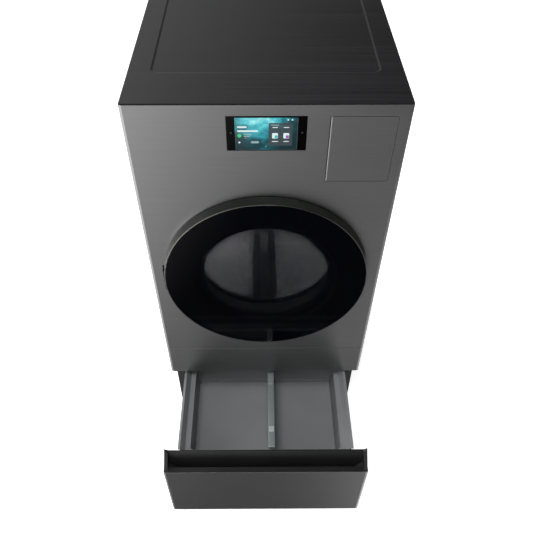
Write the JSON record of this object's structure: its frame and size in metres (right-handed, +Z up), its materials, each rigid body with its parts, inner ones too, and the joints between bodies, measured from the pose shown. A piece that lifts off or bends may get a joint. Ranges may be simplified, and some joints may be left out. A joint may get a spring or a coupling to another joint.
{
  "type": "washer dryer stack",
  "caption": "Front-loading all-in-one washer dryer with a round glass door, touch display and flush access door, standing on a pedestal with a divided storage drawer pulled open.",
  "frame": {"origin": "on the floor under the middle of the cabinet", "axes": "+X to the right of someone facing the door, +Y towards the back of the machine, +Z up"},
  "size_m": [0.686, 1.19, 1.482],
  "materials": {
    "dark_inox": "fine horizontal brushing, dark tint",
    "black_painted_steel": "satin black",
    "galvanised_steel": "plain galvanised sheet",
    "stainless_drum": "polished stainless",
    "tinted_glass": "tinted, polished",
    "clear_glass": "clear pressed glass",
    "display_glass": "black cover glass with a lit screen",
    "black_gloss_plastic": "polished black",
    "black_plastic": "fine satin grain",
    "grey_plastic": "fine grain",
    "light_grey_plastic": "smooth",
    "tub_plastic": "glass-filled plastic",
    "white_plastic": "smooth",
    "grey_rubber": "moulded",
    "concrete": "cast",
    "cast_alloy": "as cast",
    "copper": "drawn copper tube",
    "black_steel": "black enamel",
    "bright_steel": "zinc plated",
    "bearing_steel": "ground",
    "motor": "wound laminations"
  },
  "bodies": {
    "cabinet": {"pedestal_panels": "black_painted_steel", "pedestal_base": "galvanised_steel", "pedestal_top": "black_painted_steel", "pedestal_feet": "black_plastic", "rail_outer": "galvanised_steel", "base_pan": "galvanised_steel", "washer_feet": "black_plastic", "side_panels": "black_painted_steel", "front_panel": "dark_inox", "lower_front_panel": "dark_inox", "top_cover": "black_painted_steel", "back_panel": "galvanised_steel", "cross_braces": "galvanised_steel", "display_glass": "display_glass", "display_module": "black_plastic", "access_frame": "black_plastic", "dispenser_housing": "light_grey_plastic", "dispenser_drawer": "grey_plastic", "lint_filter": "grey_plastic", "heat_pump_deck": "galvanised_steel", "heat_exchanger_case": "tub_plastic", "heat_pump_coils": "cast_alloy", "compressor": "black_steel", "refrigerant_pipes": "copper", "blower_housing": "tub_plastic", "drain_pump": "white_plastic", "drain_hose": "grey_rubber", "drain_outlet": "black_plastic", "water_valve": "white_plastic", "power_inlet": "black_plastic", "tub_bellows": "grey_rubber", "suspension_springs": "bright_steel", "damper_cylinders": "black_plastic", "door_gasket": "grey_rubber", "door_hinge": "black_steel", "door_lock": "black_plastic"},
    "tub": {"tub_front": "tub_plastic", "tub_rear": "tub_plastic", "counterweights": "concrete", "bearings": "bearing_steel", "stator": "motor", "damper_rods": "bright_steel"},
    "drum": {"drum_shell": "stainless_drum", "drum_lifters": "grey_plastic", "drum_spider": "cast_alloy", "rotor": "black_steel"},
    "door": {"door_rim": "black_gloss_plastic", "door_glass": "tinted_glass", "door_inner_ring": "black_plastic", "door_bowl": "clear_glass", "door_hardware": "black_steel"},
    "access_door": {"access_door": "dark_inox"},
    "blower": {"blower_wheel": "black_plastic"},
    "impeller": {"pump_impeller": "black_plastic"},
    "drawer": {"drawer_face": "dark_inox", "drawer_scoop": "black_plastic", "drawer_bin": "grey_plastic", "drawer_divider": "light_grey_plastic", "rail_inner": "galvanised_steel"},
    "middle_rails": {"rail_middle": "galvanised_steel"}
  },
  "joints": [
    {"name": "drawer_slide", "type": "slide", "parent": "cabinet", "child": "drawer", "axis": [0, -1, 0], "range_m": [-0.365, 0]},
    {"name": "rail_slide", "type": "slide", "parent": "cabinet", "child": "middle_rails", "axis": [0, -1, 0], "range_m": [-0.1825, 0]},
    {"name": "door_hinge", "type": "hinge", "parent": "cabinet", "child": "door", "pos_m": [-0.302, -0.418, 0.906], "axis": [0, 0, -1], "range_deg": [0, 140]},
    {"name": "access_door_hinge", "type": "hinge", "parent": "cabinet", "child": "access_door", "pos_m": [0.1555, -0.396, 1.354], "axis": [0, 0, -1], "range_deg": [0, 95]},
    {"name": "tub_bounce", "type": "slide", "parent": "cabinet", "child": "tub", "axis": [0, 0, 1], "range_m": [-0.01, 0.01], "stiffness_N_per_m": 20000, "springref_m": 0.0245, "deforming": ["suspension_springs", "door_gasket", "tub_bellows"]},
    {"name": "drum_spin", "type": "hinge", "parent": "tub", "child": "drum", "pos_m": [0, 0, 0.906], "axis": [0, -1, 0], "continuous": true},
    {"name": "blower_spin", "type": "hinge", "parent": "cabinet", "child": "blower", "pos_m": [0.02, -0.06, 1.287], "axis": [0, 0, 1], "continuous": true},
    {"name": "impeller_spin", "type": "hinge", "parent": "cabinet", "child": "impeller", "pos_m": [0.12, -0.22, 0.44], "axis": [0, 1, 0], "continuous": true}
  ],
  "couplings": [
    {"joint": "rail_slide", "follows": "drawer_slide", "ratio": 0.5}
  ]
}
